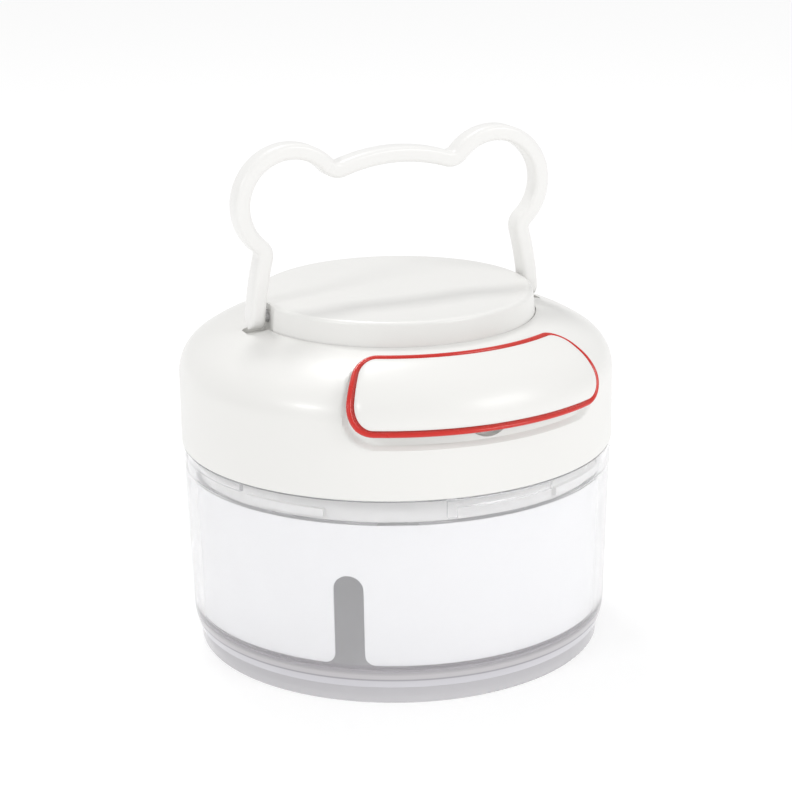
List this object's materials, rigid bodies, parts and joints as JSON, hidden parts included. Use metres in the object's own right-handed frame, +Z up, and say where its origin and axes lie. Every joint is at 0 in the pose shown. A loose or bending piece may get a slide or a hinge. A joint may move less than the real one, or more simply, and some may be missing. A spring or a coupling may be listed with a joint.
{
  "type": "hand-pulled food chopper",
  "caption": "Small hand-pulled food processor: clear bowl with a blade shaft, white domed lid with a cord reel, a red-rimmed pull grip and a folding bail handle with two ear curves.",
  "frame": {"origin": "centre of the base's flat underside, on the axis of the bowl, blades and lid", "axes": "+Z up along the bowl's axis, -Y out through the pull grip, X along the bail's pivot pins"},
  "size_m": [0.0916, 0.0947, 0.1082],
  "materials": {
    "base_tpe": "translucent, smooth",
    "clear_bowl": "clear moulded plastic, polished",
    "white_liner": "smooth white",
    "steel": "brushed",
    "shaft_plastic": "satin moulded",
    "seal_silicone": "soft, satin",
    "white_abs": "high gloss moulded",
    "bail_abs": "gloss moulded",
    "mechanism_pom": "low-friction, matte",
    "spring_steel": "blued strip",
    "cord_fabric": "braided nylon",
    "red_plastic": "gloss moulded",
    "zinc_screw": "zinc plated"
  },
  "bodies": {
    "bowl": {"bowl": "clear_bowl", "bowl_liner": "white_liner", "non_slip_base": "base_tpe", "centre_pin": "steel"},
    "blades": {"blade_shaft": "shaft_plastic", "blade_lower": "steel", "blade_middle": "steel", "blade_upper": "steel"},
    "seal": {"lid_seal": "seal_silicone"},
    "lid": {"dome_shell": "white_abs", "top_cap": "white_abs", "cap_screws": "zinc_screw", "cover_plate": "white_abs", "plate_screws": "zinc_screw", "drive_bush": "mechanism_pom", "cord_eyelet": "mechanism_pom", "reel_axle": "steel", "axle_clip": "spring_steel", "clock_spring": "spring_steel", "cord_lead": "cord_fabric", "pivot_pins": "steel"},
    "reel": {"cord_reel": "mechanism_pom", "spring_cover": "mechanism_pom", "cord_winding": "cord_fabric"},
    "drive": {"drive_hub": "mechanism_pom", "clutch_rotor": "mechanism_pom"},
    "grip": {"grip_back": "red_plastic", "grip_face": "white_abs", "grip_screws": "zinc_screw", "cord_tail": "cord_fabric"},
    "bail": {"bail_handle": "bail_abs"}
  },
  "joints": [
    {"name": "blade_spin", "type": "hinge", "parent": "bowl", "child": "blades", "pos_m": [0, 0, 0.0125], "axis": [0, 0, 1], "range_deg": [-875, 0]},
    {"name": "lid_lift", "type": "slide", "parent": "bowl", "child": "seal", "axis": [0, 0, 1], "range_m": [0, 0.06]},
    {"name": "lid_twist", "type": "hinge", "parent": "seal", "child": "lid", "pos_m": [0, 0, 0.0453], "axis": [0, 0, 1], "range_deg": [-30, 0]},
    {"name": "reel_spin", "type": "hinge", "parent": "lid", "child": "reel", "pos_m": [0, 0, 0.06], "axis": [0, 0, 1], "range_deg": [-875, 0], "deforming": ["clock_spring"]},
    {"name": "drive_spin", "type": "hinge", "parent": "lid", "child": "drive", "pos_m": [0, 0, 0.048], "axis": [0, 0, 1], "range_deg": [-875, 0]},
    {"name": "pull", "type": "slide", "parent": "lid", "child": "grip", "axis": [0, -1, 0], "range_m": [0, 0.3], "stiffness_N_per_m": 20, "springref_m": -0.1, "deforming": ["cord_tail", "cord_lead"]},
    {"name": "bail_fold", "type": "hinge", "parent": "lid", "child": "bail", "pos_m": [0, 0, 0.0728], "axis": [1, 0, 0], "range_deg": [-80, 80]}
  ],
  "couplings": [
    {"joint": "blade_spin", "follows": "pull", "rad_per_m": -50},
    {"joint": "reel_spin", "follows": "pull", "rad_per_m": -50},
    {"joint": "drive_spin", "follows": "pull", "rad_per_m": -50}
  ]
}
